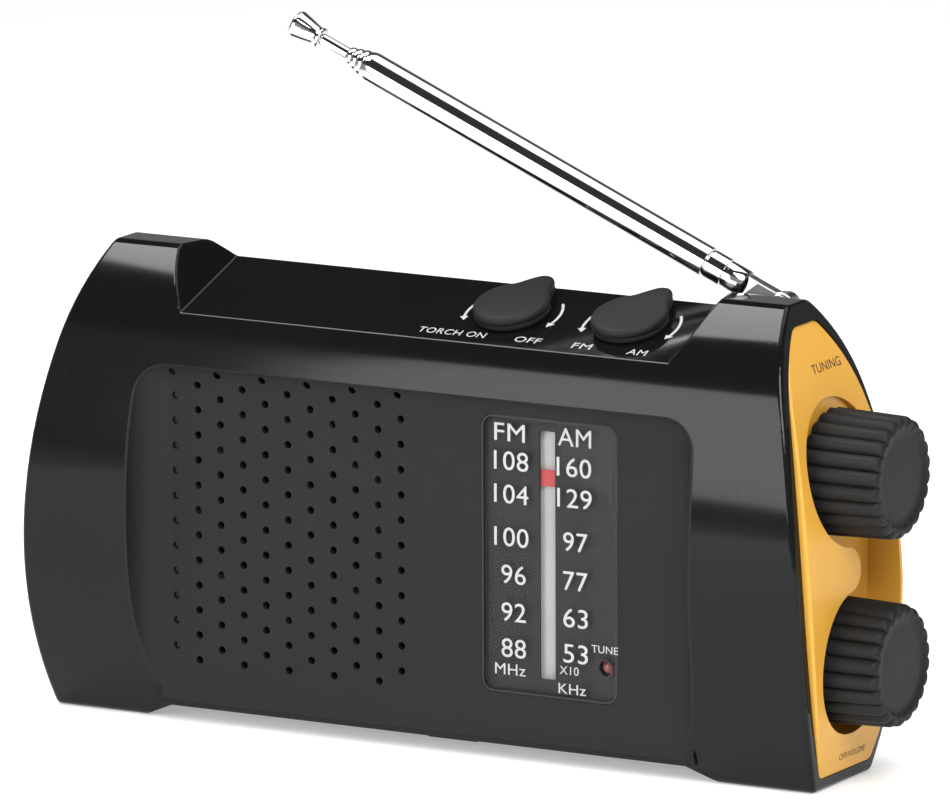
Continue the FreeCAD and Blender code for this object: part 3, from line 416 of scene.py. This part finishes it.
def merged(*forms):
    bm = bmesh.new()
    for form in forms:
        mesh = bpy.data.meshes.new("part")
        form.to_mesh(mesh)
        form.free()
        bm.from_mesh(mesh)
        bpy.data.meshes.remove(mesh)
    return bm


def letterForm(text):
    # Letters as a closed mesh, one unit tall, lower left corner at the origin.
    curve = bpy.data.curves.new("letters", "FONT")
    curve.body = text
    curve.extrude = 0.5
    curve.resolution_u = 5
    curve.space_character = 1.04
    holder = bpy.data.objects.new("letters", curve)
    scene.collection.objects.link(holder)
    bpy.context.view_layer.update()
    mesh = bpy.data.meshes.new_from_object(holder.evaluated_get(bpy.context.evaluated_depsgraph_get()))
    bm = bmesh.new()
    bm.from_mesh(mesh)
    bpy.data.objects.remove(holder)
    bpy.data.curves.remove(curve)
    bpy.data.meshes.remove(mesh)
    xs = [v.co.x for v in bm.verts]
    ys = [v.co.y for v in bm.verts]
    tall = max(ys) - min(ys)
    for v in bm.verts:
        v.co = Vector(((v.co.x - min(xs)) / tall, (v.co.y - min(ys)) / tall, v.co.z))
    return bm, (max(xs) - min(xs)) / tall


def letters(rows, spot, thick):
    # rows: (text, left, low, height, width or None). spot(u, v, w) gives the place on the surface.
    forms = []
    for text, left, low, height, width in rows:
        bm, natural = letterForm(text)
        wide = width or natural * height
        for v in bm.verts:
            v.co = spot(left + v.co.x * wide / natural, low + v.co.y * height, (v.co.z + 0.5) * thick) * mm
        forms.append(bm)
    return merged(*forms)


# Case.

smoothed("frontHousing", "front_housing")
smoothed("backHousing", "back_housing")
smoothed("frontPanel", "front_panel")
smoothed("rightEndPanel", "right_end_panel")
smoothed("leftEndPanel", "left_end_panel")
smoothed("batteryDoor", "battery_door")
print("case done")


# Knobs on the right end.

endKnob = {"lobes": 22, "samples": 14, "valley": 1.4, "edge": 1.7, "dish": 0.4, "faceRadius": 9.8}


def makeEndKnob(name, node):
    low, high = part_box(node)
    start, end = low.x / mm, high.x / mm
    middle = (low + high) / (2 * mm)
    root = (high.z - low.z) / (2 * mm)
    tip = root - 0.47
    valley, edge = endKnob["valley"], endKnob["edge"]

    def depthAt(along):
        # Valleys run out over the rounded end.
        left = end - along
        return valley * min(1.0, 0.6 + 0.4 * min(1.0, (left + 0.3) / 1.2))

    def ripple(angle, along):
        reach = root + (tip - root) * (along - start) / (end - start)
        lobe = abs(math.sin(angle * endKnob["lobes"] / 2)) ** 0.62
        return 1 - depthAt(along) * (1 - lobe) / reach

    profile = [(start, 0), (start, 3.2), (start, root - 0.4), (start + 0.4, root)]
    profile += [(start + (end - edge - start) * i / 8, root + (tip - root) * i / 8) for i in range(1, 9)]
    profile += roundedEdge(end, tip - 0.02, edge, 6)[1:]
    flat = endKnob["faceRadius"]
    profile += [(end - 0.15, tip - edge - 0.6), (end - 0.42, flat + 0.45), (end - 0.7, flat)]
    dome = [(end - 0.7 + endKnob["dish"] * (1 - (r / flat) ** 2) * 0.6, r) for r in (8.2, 6.2, 4.0, 2.0, 0)]

    sides = endKnob["lobes"] * endKnob["samples"]
    axis = Vector((1, 0, 0))
    loops = []
    count = len(profile)
    for index, (along, radius) in enumerate(profile + dome):
        centre = Vector((along, middle.y, middle.z)) * mm
        if radius < 1e-6:
            loops.append([centre])
            continue
        fade = 0.0 if radius < flat + 0.5 or index >= count else min(1.0, (radius - flat - 0.3) / 1.2)
        loop = []
        for i in range(sides):
            angle = 2 * math.pi * i / sides
            r = radius * (1 - fade * (1 - ripple(angle, along))) * mm
            loop.append(centre + Vector((0, math.cos(angle), math.sin(angle))) * r)
        loops.append(loop)
    bm = bmesh.new()
    skin(bm, loops)
    return place(name, bm, node, smooth=50.0)


makeEndKnob("tuningKnob", "tuning_knob")
makeEndKnob("volumeKnob", "volume_knob")
print("end knobs done")


# Deck: selectors, legends and arrows. The deck is a plane rising from its front crease.

deck = {"creaseY": -14.84, "creaseZ": 90.12, "tilt": math.radians(18.9), "rise": 12.8, "ink": 0.03}


def onDeck(u, v, w):
    c, s = math.cos(deck["tilt"]), math.sin(deck["tilt"])
    return Vector((u, deck["creaseY"] + v * c - w * s, deck["creaseZ"] + v * s + w * c))


selector = {
    "radius": 8.4, "tipAhead": 10.2, "tipRadius": 2.4, "waist": 0.45, "height": 3.3, "gap": 0.3, "turn": 15.0,
}


def selectorReach(angle):
    # A disc drawn out to a round tip by two slightly hollow flanks; angle is measured from the tip.
    ahead, tip, disc = selector["tipAhead"], selector["tipRadius"], selector["radius"]
    lean = math.acos((disc - tip) / ahead)
    tipEnd = math.atan2(tip * math.sin(lean), ahead + tip * math.cos(lean))
    if angle < tipEnd:
        return ahead * math.cos(angle) + math.sqrt(tip ** 2 - (ahead * math.sin(angle)) ** 2)
    if angle < lean:
        part = (angle - tipEnd) / (lean - tipEnd)
        return disc / math.cos(lean - angle) - selector["waist"] * math.sin(math.pi * part) ** 2
    return disc


def selectorOutline(count, shrink):
    points = []
    for i in range(count):
        a = 2 * math.pi * i / count
        reach = selectorReach(min(a, 2 * math.pi - a)) - shrink
        points.append((-math.sin(a) * reach, math.cos(a) * reach))
    return points


def makeSelector(name, node, centreX):
    turn = -math.radians(selector["turn"])
    count = 144
    top = selector["gap"] + selector["height"]
    levels = [
        (0.5, selector["gap"]), (0.15, selector["gap"] + 0.15), (0.1, 1.05), (0.42, 1.25), (0.42, 1.5),
        (0.1, 1.7), (0.0, 1.9), (0.0, top - 1.25), (0.06, top - 0.95), (0.25, top - 0.62), (0.6, top - 0.4),
        (1.1, top - 0.28), (2.0, top - 0.17), (3.6, top - 0.07), (5.4, top - 0.02),
    ]
    loops = [[onDeck(centreX, deck["rise"], selector["gap"]) * mm]]
    for shrink, height in levels:
        loop = []
        for u, v in selectorOutline(count, shrink):
            x = u * math.cos(turn) - v * math.sin(turn)
            y = u * math.sin(turn) + v * math.cos(turn)
            loop.append(onDeck(centreX + x, deck["rise"] + y, height) * mm)
        loops.append(loop)
    loops.append([onDeck(centreX, deck["rise"], top) * mm])
    bm = bmesh.new()
    skin(bm, loops)
    return place(name, bm, node, smooth=40.0)


selectorPlaces = {}
for name, node in (("torchSelector", "torch_selector"), ("bandSelector", "band_selector")):
    low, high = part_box(node + "_stem")
    selectorPlaces[node] = (low.x + high.x) / (2 * mm)
    makeSelector(name, node + "_knob", selectorPlaces[node])


def arcArrow(centreX, start, end):
    # A curved stroke with a head at its far end, lying on the deck.
    radius, half, steps = 10.75, 0.3, 18
    head = math.radians(9.0) * (1 if end > start else -1)
    outline = []
    angles = [math.radians(start + (end - start) * i / steps) for i in range(steps + 1)]
    last = angles[-1] - head
    body = [a for a in angles if abs(a - angles[0]) < abs(last - angles[0])] + [last]
    outer = [(radius + half, a) for a in body] + [(radius + 0.95, last)]
    inner = [(radius - 0.95, last)] + [(radius - half, a) for a in reversed(body)]
    for r, a in outer + [(radius, angles[-1])] + inner:
        outline.append((centreX + r * math.cos(a), deck["rise"] + r * math.sin(a)))
    bm = bmesh.new()
    lower = [bm.verts.new(onDeck(u, v, 0.0) * mm) for u, v in outline]
    upper = [bm.verts.new(onDeck(u, v, deck["ink"]) * mm) for u, v in outline]
    bm.faces.new(lower)
    bm.faces.new(upper)
    for i in range(len(outline)):
        j = (i + 1) % len(outline)
        bm.faces.new((lower[i], lower[j], upper[j], upper[i]))
    return bm


arrows = [arcArrow(x, start, end) for x in selectorPlaces.values() for start, end in ((125, 205), (34, -22))]
deckRows = [
    ("TORCH ON", -2.6, 1.7, 2.2, 16.2), ("OFF", 20.8, 1.7, 2.2, 6.2),
    ("FM", 34.8, 1.5, 2.2, 4.5), ("AM", 48.2, 1.3, 2.2, 4.5),
]
deckLegends = merged(letters(deckRows, onDeck, deck["ink"]), *arrows)
place("deckLegends", deckLegends, "front_housing", legendGrey, False)
print("deck done")


# Dial.

# Its third entry is the width of the dark ring of painted groove shade round the window.
dial = {"face": -16.76, "ink": 0.03, "rim": 0.5, "corner": 2.8}


def onDial(u, v, w):
    return Vector((u, dial["face"] - w, v))


def roundedOutline(left, right, low, high, corner, steps=8):
    points = []
    for cx, cz, first in ((right, high, 0), (left, high, 90), (left, low, 180), (right, low, 270)):
        x = cx - corner if cx == right else cx + corner
        z = cz - corner if cz == high else cz + corner
        for i in range(steps + 1):
            a = math.radians(first + 90 * i / steps)
            points.append((x + corner * math.cos(a), z + corner * math.sin(a)))
    return points


windowLow, windowHigh = (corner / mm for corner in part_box("dial_window"))


def windowLoop(inset, y):
    # The window's outline drawn in by `inset`, at one depth.
    left, right = windowLow.x + inset, windowHigh.x - inset
    low, high = windowLow.z + inset, windowHigh.z - inset
    outline = roundedOutline(left, right, low, high, dial["corner"] - inset)
    return [Vector((x, y, z)) * mm for x, z in outline]


def makeWindow():
    back, front = windowHigh.y, windowLow.y
    levels = ((0.0, back), (0.0, front + 0.25), (0.08, front + 0.08), (0.25, front))
    loops = [windowLoop(inset, y) for inset, y in levels]
    bm = bmesh.new()
    rings = skin(bm, loops)
    bm.faces.new(rings[0])
    bm.faces.new(rings[-1])
    return place("dialWindow", bm, "dial_window")


# A near-black ring on the dial face along the window's edge: painted shade in place of the groove there.
def makeWindowGrooveShade():
    wide, face = dial["rim"], dial["face"]
    levels = ((0.05, face), (0.05, face - 0.02), (wide, face - 0.02), (wide, face))
    loops = [windowLoop(inset, y) for inset, y in levels]
    bm = bmesh.new()
    skin(bm, loops, True)
    return place("dialGrooveShade", bm, "dial_window", grooveShadeAndBezelBlack, False)


makeWindow()
makeWindowGrooveShade()
digit, wide3, wide2 = 4.1, 8.3, 5.9
fmRows = [
    ("FM", 18.2, 69.8, 3.8, 7.4), ("108", 18.1, 63.5, digit, wide3), ("104", 18.1, 56.3, digit, wide3),
    ("100", 18.1, 47.0, digit, wide3), ("96", 19.8, 38.9, digit, wide2),
    ("92", 19.8, 30.7, digit, wide2), ("88", 19.8, 22.9, digit, wide2), ("MHz", 18.2, 19.1, 2.4, 7.4),
]
amRows = [
    ("AM", 33.6, 70.1, 3.8, 8.0), ("160", 33.3, 63.5, digit, wide3), ("129", 33.4, 56.8, digit, wide3),
    ("97", 34.8, 47.4, digit, wide2), ("77", 34.8, 38.9, digit, wide2),
    ("63", 34.8, 30.9, digit, wide2), ("53", 34.8, 23.2, digit, wide2), ("X10", 33.9, 20.6, 1.8, 4.6),
    ("KHz", 33.6, 16.4, 2.2, 6.6), ("TUNE", 41.6, 26.1, 1.6, 6.4),
]
place("dialLettering", letters(fmRows + amRows, onDial, dial["ink"]), "dial_window", legendGrey, False)


def makeTuneLamp():
    low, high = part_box("tune_lamp")
    middle = (low + high) / (2 * mm)
    radius = (high.x - low.x) / (2 * mm)
    back, front = high.y / mm, low.y / mm
    profile = [(0, 0), (0, radius)] + [(0.9, radius), (1.0, radius * 0.9)]
    rise = back - front - 1.0
    steps = 8
    for i in range(1, steps + 1):
        a = math.radians(90 * i / steps)
        profile.append((1.0 + rise * math.sin(a), radius * 0.9 * math.cos(a) if i < steps else 0))
    return place("tuneLamp", turned(profile, (middle.x, back, middle.z), (0, -1, 0), 40), "tune_lamp")


makeTuneLamp()
lampLow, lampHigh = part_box("tune_lamp")
lampX, lampZ = (lampLow.x + lampHigh.x) / (2 * mm), (lampLow.z + lampHigh.z) / (2 * mm)
ring = [(0.0, 1.75), (0.0, 2.15), (0.05, 2.15), (0.05, 1.75)]
lampRing = turned(ring, (lampX, dial["face"], lampZ), (0, -1, 0), 48, True)
place("tuneLampRing", lampRing, "dial_window", grooveShadeAndBezelBlack, False)
print("dial done")


# Legends on the right end panel, which bows outward.

endPanel = {"arcRadius": 160.0, "arcCentreX": -63.4, "arcHeight": 34.0, "ink": 0.03}


def onRightEnd(u, v, w):
    reach = math.sqrt(endPanel["arcRadius"] ** 2 - (v - endPanel["arcHeight"]) ** 2)
    return Vector((endPanel["arcCentreX"] + reach + w, u, v))


endRows = [("TUNING", -2.8, 87.8, 1.9, 12.6), ("OFF/VOLUME", -4.0, 5.6, 1.4, 11.6)]
place("endLegends", letters(endRows, onRightEnd, endPanel["ink"]), "right_end_panel", legendBlack, False)


# Antenna, lathed along its own line from the tilt axis.

antenna = {
    "radii": (3.5, 3.0, 2.5, 2.0), "wall": 0.35, "start": 9.5, "end": 110.0, "bead": 1.6, "tipRun": 8.1,
}
joints = {joint["name"]: joint for joint in record["behaviour"]["joints"]}
mastPivot = Vector(joints["antenna_tilt"]["pos_m"]) / mm
mastAxis = Vector(joints["antenna_stage_1"]["axis"]).normalized()


def alongMast(profile, closed=False, sides=64):
    return turned(profile, mastPivot, mastAxis, sides, closed)


def crimp(at, before, after):
    # A rolled groove where a tube steps from one radius to the next.
    waist = min(before, after) - 0.22
    groove = [(at - 0.2, waist + 0.05), (at, waist), (at + 0.2, waist + 0.05)]
    return [(at - 0.35, before)] + groove + [(at + 0.4, after)]


def makeOuterTube():
    r, end, start = antenna["radii"][0], antenna["end"], antenna["start"]
    bore = antenna["radii"][1] + 0.05
    profile = [(start, bore - 0.4), (start, r - 0.75), (start + 0.35, r - 0.42)]
    profile += crimp(start + 4.8, r - 0.42, r - 0.2) + crimp(start + 9.6, r - 0.2, r)
    profile += [(start + 14, r), (60, r), (end - 1.9, r), (end - 1.3, r - 0.04), (end - 0.7, r - 0.14)]
    profile += [(end - 0.25, r - 0.27), (end, bore + 0.02), (end, bore)]
    profile += [(start + 2.0, bore), (start + 2.0, bore - 0.4)]
    return place("antennaOuterTube", alongMast(profile, True), "antenna_section_a", smooth=45.0)


def makeInnerTube(index):
    r = antenna["radii"][index]
    bore = r - antenna["wall"] - 0.1
    bead = antenna["bead"]
    low, high = antenna["start"] - 1.0 + 1.6 * index, antenna["end"] + bead * index
    profile = [(low, bore), (low, r - 0.05), (low + 0.3, r), (high - bead - 0.2, r), (high - bead, r - 0.12)]
    profile += [(high - bead + 0.25, r - 0.02), (high - 0.9, r), (high - 0.45, r - 0.07)]
    profile += [(high - 0.15, r - 0.22), (high, bore + 0.1), (high, bore)]
    node = "antenna_section_" + "abcd"[index]
    return place("antennaTube" + "ABCD"[index], alongMast(profile, True), node, smooth=45.0)


def makeTip():
    end = antenna["end"] + 3 * antenna["bead"] + antenna["tipRun"]
    rod = [(18.0, 0), (18.0, 1.2), (18.3, 1.3), (60, 1.3), (end - 1.0, 1.3), (end - 1.0, 0)]
    place("antennaRod", alongMast(rod), "antenna_rod", smooth=45.0)
    cap = [(end - 1.0, 0), (end - 1.0, 1.85), (end - 0.85, 2.2), (end - 0.5, 2.36)]
    cap += [(end - 0.15, 2.28), (end + 0.1, 2.1)]
    cap += [(end + 0.6, 2.15), (end + 2.8, 2.65), (end + 5.1, 3.12), (end + 5.45, 3.2), (end + 5.8, 3.15)]
    cap += [(end + 6.1, 2.95), (end + 6.28, 2.55), (end + 6.32, 1.4), (end + 6.32, 0)]
    place("antennaCap", alongMast(cap), "antenna_cap", smooth=45.0)


makeOuterTube()
for index in (1, 2, 3):
    makeInnerTube(index)
makeTip()
softened("antennaTongue", "antenna_tongue", 0.25)
softened("antennaTurret", "antenna_turret", 0.25)
print("antenna done")


# Torch on the left end.

def makeTorch():
    low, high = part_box("torch_lens")
    radius = (high.z - low.z) / (2 * mm)
    middle = (low + high) / (2 * mm)
    thick = (high.x - low.x) / mm
    steps = 40
    rings = [(0, 0)] + [(0, radius * (i + 1) / 4) for i in range(4)]
    rings += [(thick - 0.35, radius), (thick - 0.15, radius - 0.2)]
    for i in range(steps):
        r = (radius - 1.0) * (1 - i / steps)
        rings.append((thick - 0.15 - (0.18 if i % 2 else 0.0), r))
    rings.append((thick - 0.15, 0))
    place("torchLens", turned(rings, (high.x / mm, middle.y, middle.z), (-1, 0, 0), 96), "torch_lens")
    smoothed("torchReflector", "torch_reflector", 40)
    smoothed("torchLamp", "torch_led", 40)
    smoothed("torchBezel", "torch_bezel", 30)


makeTorch()
print("torch done")


# Crank on the back.

softened("crankArm", "crank_arm", 0.5)


def makeGrip():
    low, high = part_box("crank_grip")
    radius = (high.z - low.z) / (2 * mm)
    middle = (low + high) / (2 * mm)
    length = (high.x - low.x) / mm
    profile = [(0, 1.26), (0, radius - 0.4), (0.15, radius - 0.12), (0.45, radius)]
    ribs = 9
    pitch = (length - 3.0) / ribs
    for i in range(ribs):
        at = 1.5 + pitch * i
        profile += [(at, radius), (at + pitch * 0.2, radius - 0.22), (at + pitch * 0.35, radius - 0.22)]
        profile += [(at + pitch * 0.55, radius)]
    profile += [(length - 0.45, radius), (length - 0.15, radius - 0.12)]
    profile += [(length, radius - 0.4), (length, 1.26)]
    place("crankGrip", turned(profile, (low.x / mm, middle.y, middle.z), (1, 0, 0), 56, True), "crank_grip")


makeGrip()
print("crank done")


# What stays as it was made keeps its shape and gets its finish.

for name, obj in frame["nodes"].items():
    obj.data.materials.clear()
    obj.data.materials.append(finishes[slotOf[name]])


# Studio.

studio = {
    "aim": (8.75, -8.2, 75.3), "distance": 2927.0, "azimuth": 29.22, "elevation": 11.37, "roll": -0.22,
    "lens": 521.3, "sensor": 36.0, "sky": 0.36, "paleBelow": 0.38, "darkAbove": 0.5, "overhead": 0.12,
    "floor": 0.78, "floorGlow": 0.36, "floorDrop": 0.1, "floorWidth": 12000.0,
}
lamps = {
    # name: (place, aim, width, height, watts), metres
    "keyLight": ((1.0, -0.95, 1.15), (0, 0, 0.05), 0.9, 0.9, 30.0),
    "topLight": ((0.2, 0.5, 2.3), (0.1, 0.3, 0), 2.0, 2.0, 26.0),
    "frontBox": ((-0.24, -0.86, 0.30), (0.05, -0.015, 0.085), 0.50, 0.42, 4.0),
    "overheadBox": ((-0.36, -0.12, 0.84), (0.06, -0.01, 0.1), 0.42, 0.30, 5.0),
}

def makeCamera():
    a, e = math.radians(studio["azimuth"]), math.radians(studio["elevation"])
    back = Vector((math.sin(a) * math.cos(e), -math.cos(a) * math.cos(e), math.sin(e)))
    data = bpy.data.cameras.new("camera")
    data.lens = studio["lens"]
    data.sensor_width = studio["sensor"]
    data.clip_end = 100
    camera = bpy.data.objects.new("camera", data)
    scene.collection.objects.link(camera)
    camera.location = (Vector(studio["aim"]) + back * studio["distance"]) * mm
    camera.rotation_mode = "QUATERNION"
    roll = Quaternion((0, 0, 1), math.radians(studio["roll"]))
    camera.rotation_quaternion = (-back).to_track_quat("-Z", "Y") @ roll
    scene.camera = camera


def makeLamps():
    for name, (spot, aim, width, height, watts) in lamps.items():
        data = bpy.data.lights.new(name, "AREA")
        data.shape = "RECTANGLE"
        data.size, data.size_y = width, height
        data.energy = watts
        lamp = bpy.data.objects.new(name, data)
        scene.collection.objects.link(lamp)
        lamp.location = spot
        lamp.rotation_mode = "QUATERNION"
        lamp.rotation_quaternion = (Vector(aim) - Vector(spot)).to_track_quat("-Z", "Y")


def makeSky():
    # Pale all round, darker overhead, which keeps the deck black and draws lines along the antenna.
    world = bpy.data.worlds.new("studio")
    scene.world = world
    f = Finish("studio", world)
    heading = f.add("ShaderNodeTexCoord", out="Generated")
    height = f.add("ShaderNodeSeparateXYZ", None, {"Vector": heading}, "Z")
    shade = f.ramp(height, [(studio["paleBelow"], 1.0), (studio["darkAbove"], studio["overhead"])])
    glow = f.add("ShaderNodeBackground", None, {"Color": shade, "Strength": studio["sky"]})
    f.add("ShaderNodeOutputWorld", None, {"Surface": glow})


def makeFloor():
    half = studio["floorWidth"] * mm / 2
    bm = bmesh.new()
    corners = ((-1, -1), (1, -1), (1, 1), (-1, 1))
    bm.faces.new([bm.verts.new((x * half, y * half, -studio["floorDrop"] * mm)) for x, y in corners])
    mesh = bpy.data.meshes.new("floor")
    bm.to_mesh(mesh)
    bm.free()
    floor = bpy.data.objects.new("floor", mesh)
    scene.collection.objects.link(floor)
    f = Finish("palePaper")
    grain = f.noise(40, 3)
    shade = studio["floor"]
    mesh.materials.append(f.surface({
        "Base Color": f.blend(grain, (shade, shade, shade), (shade + 0.02,) * 3), "Roughness": 0.9,
        "Emission Color": (1, 1, 1, 1), "Emission Strength": studio["floorGlow"],
    }))


makeCamera()
makeLamps()
makeSky()
makeFloor()
scene.view_settings.view_transform = "Standard"
scene.view_settings.look = "None"
print("studio done")
